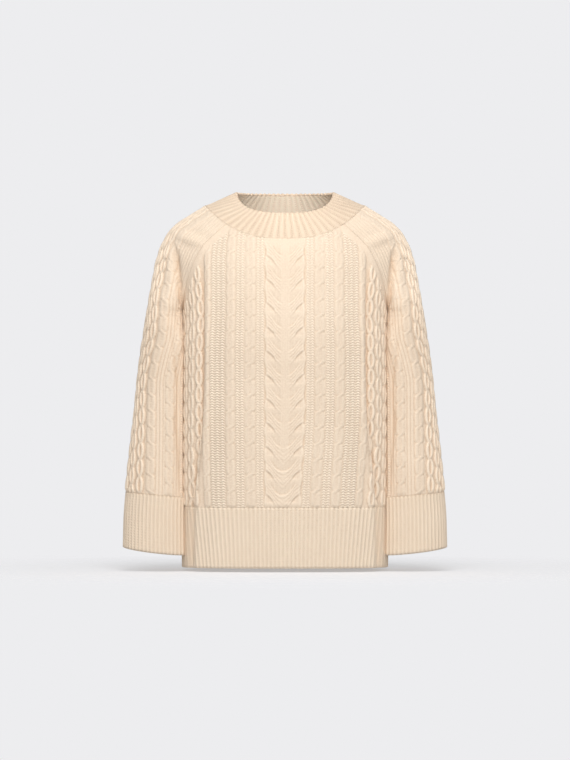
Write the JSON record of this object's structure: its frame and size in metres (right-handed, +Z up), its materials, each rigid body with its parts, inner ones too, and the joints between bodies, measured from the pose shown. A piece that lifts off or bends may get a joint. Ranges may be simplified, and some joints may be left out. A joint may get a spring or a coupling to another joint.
{
  "type": "cable knit sweater",
  "caption": "Hollow worn cable knit sweater with raglan sleeves, ribbed crew neckband, deep ribbed hem and wide ribbed cuffs.",
  "frame": {"origin": "the middle of the wearer's neck base, level with the tops of the shoulders, where the wearer holds the garment up", "axes": "+Z up along the body to the neck, -Y the front, +X the wearer's left"},
  "size_m": [0.5214, 0.2271, 0.5989],
  "materials": {
    "cabled_knit": "soft matt cream wool blend knit with raised cables, ropes and honeycomb",
    "ribbed_knit": "soft matt cream wool blend rib knit"
  },
  "bodies": {
    "root": {"front": "cabled_knit", "back": "cabled_knit", "sleeve_right": "cabled_knit", "sleeve_left": "cabled_knit", "hem_front": "ribbed_knit", "hem_back": "ribbed_knit", "cuff_right": "ribbed_knit", "cuff_left": "ribbed_knit", "collar": "ribbed_knit"}
  },
  "joints": []
}
